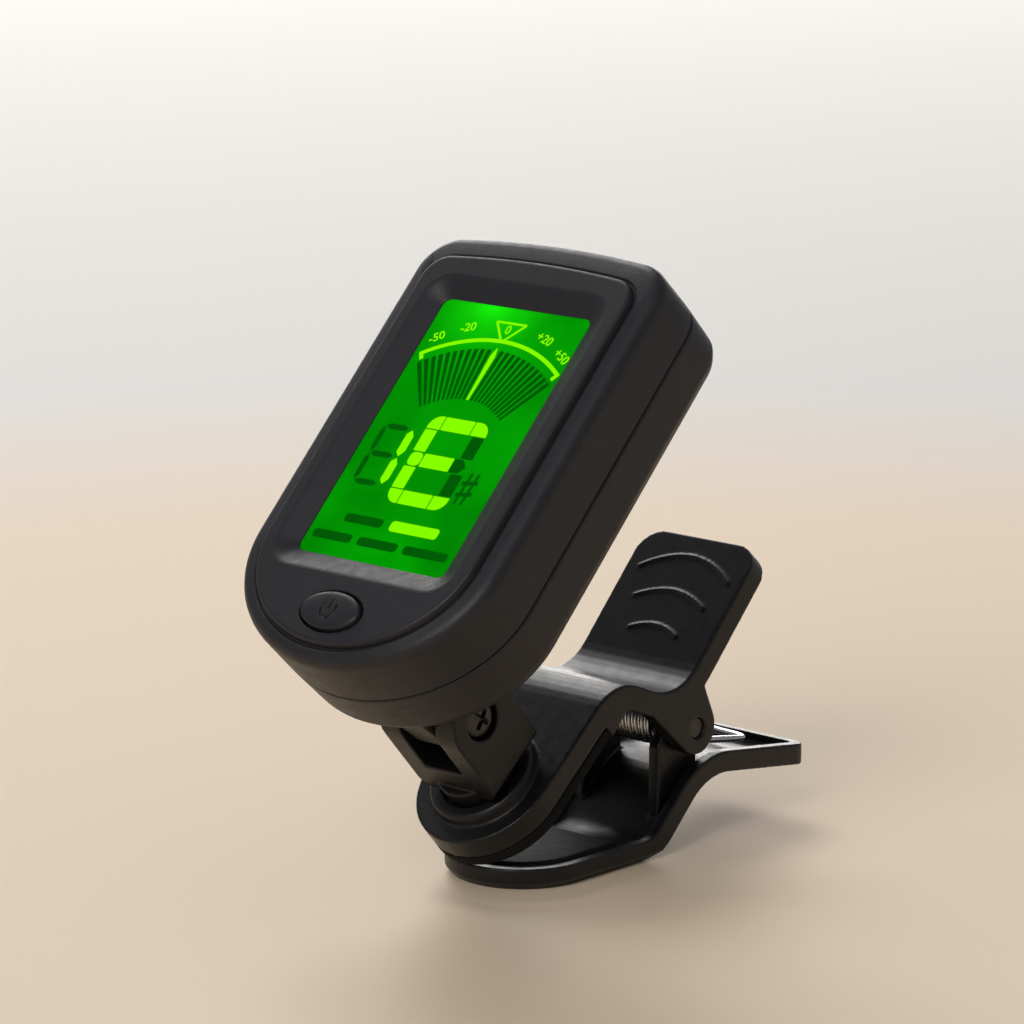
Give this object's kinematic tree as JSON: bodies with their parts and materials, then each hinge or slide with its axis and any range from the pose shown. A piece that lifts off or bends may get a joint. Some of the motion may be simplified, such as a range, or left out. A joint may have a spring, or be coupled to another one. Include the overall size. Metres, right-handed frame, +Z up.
{
  "type": "clip-on tuner",
  "caption": "Clip-on instrument tuner: a backlit display head with a power button, tilting on a swivel yoke above a spring clip with rubber-padded jaws.",
  "frame": {"origin": "middle of the bounding box's footprint, on the ground plane the lower jaw stands on", "axes": "+X across the clip along the jaw pivot (towards the hinge screw's head), +Y from the jaw tips to the finger levers, +Z up; the display faces -Y and up"},
  "size_m": [0.031, 0.063, 0.0604],
  "materials": {
    "black_plastic": "fine-textured moulded plastic",
    "button_plastic": "smooth satin moulded plastic",
    "white_plastic": "translucent white plastic",
    "clear_window": "clear polished window",
    "green_display": "green backlit liquid-crystal panel",
    "pink_rubber": "striped elastomer connector",
    "green_board": "lacquered circuit board",
    "black_chip": "moulded component body",
    "brass": "bright rolled sheet",
    "steel": "bright nickel-plated steel",
    "black_steel": "black-oxide steel",
    "black_rubber": "matte moulded rubber"
  },
  "bodies": {
    "lower_clip": {"lower_jaw": "black_plastic", "lower_pad": "black_rubber", "pivot_pin": "black_steel", "torsion_spring": "steel"},
    "upper_clip": {"upper_jaw": "black_plastic", "upper_pad": "black_rubber", "spring_upper_leg": "steel"},
    "yoke": {"swivel_yoke": "black_plastic", "hinge_screw": "black_steel", "hinge_nut": "steel", "swivel_washer": "steel", "swivel_screw": "steel"},
    "head": {"front_cover": "black_plastic", "rear_cover": "black_plastic", "lcd_window": "clear_window", "lcd_glass": "green_display", "backlight_guide": "white_plastic", "backlight_led": "white_plastic", "zebra_connector": "pink_rubber", "circuit_board": "green_board", "controller_chip": "black_chip", "tact_switch": "black_chip", "coin_cell": "steel", "battery_contact_negative": "brass", "battery_contact_positive": "brass", "piezo_disc": "brass", "case_screw_1": "black_steel", "case_screw_2": "black_steel"},
    "button": {"power_button": "button_plastic", "switch_plunger": "white_plastic"},
    "door": {"battery_door": "black_plastic"}
  },
  "joints": [
    {"name": "clip_open", "type": "hinge", "parent": "lower_clip", "child": "upper_clip", "pos_m": [0, 0.01416, 0.0121], "axis": [-1, 0, 0], "range_deg": [0, 40], "stiffness_Nm_per_rad": 0.05, "springref_deg": -45.84},
    {"name": "swivel", "type": "hinge", "parent": "upper_clip", "child": "yoke", "pos_m": [0, -0.00839, 0.0101], "axis": [0, -0.66, 0.7513], "continuous": true},
    {"name": "head_tilt", "type": "hinge", "parent": "yoke", "child": "head", "pos_m": [0, -0.01401, 0.01794], "axis": [1, 0, 0], "range_deg": [-30, 85]},
    {"name": "power_press", "type": "slide", "parent": "head", "child": "button", "axis": [0, 0.7218, -0.6921], "range_m": [0, 0.0004], "stiffness_N_per_m": 800},
    {"name": "battery_door_slide", "type": "slide", "parent": "head", "child": "door", "axis": [0, 0.6921, 0.7218], "range_m": [0, 0.026]}
  ]
}
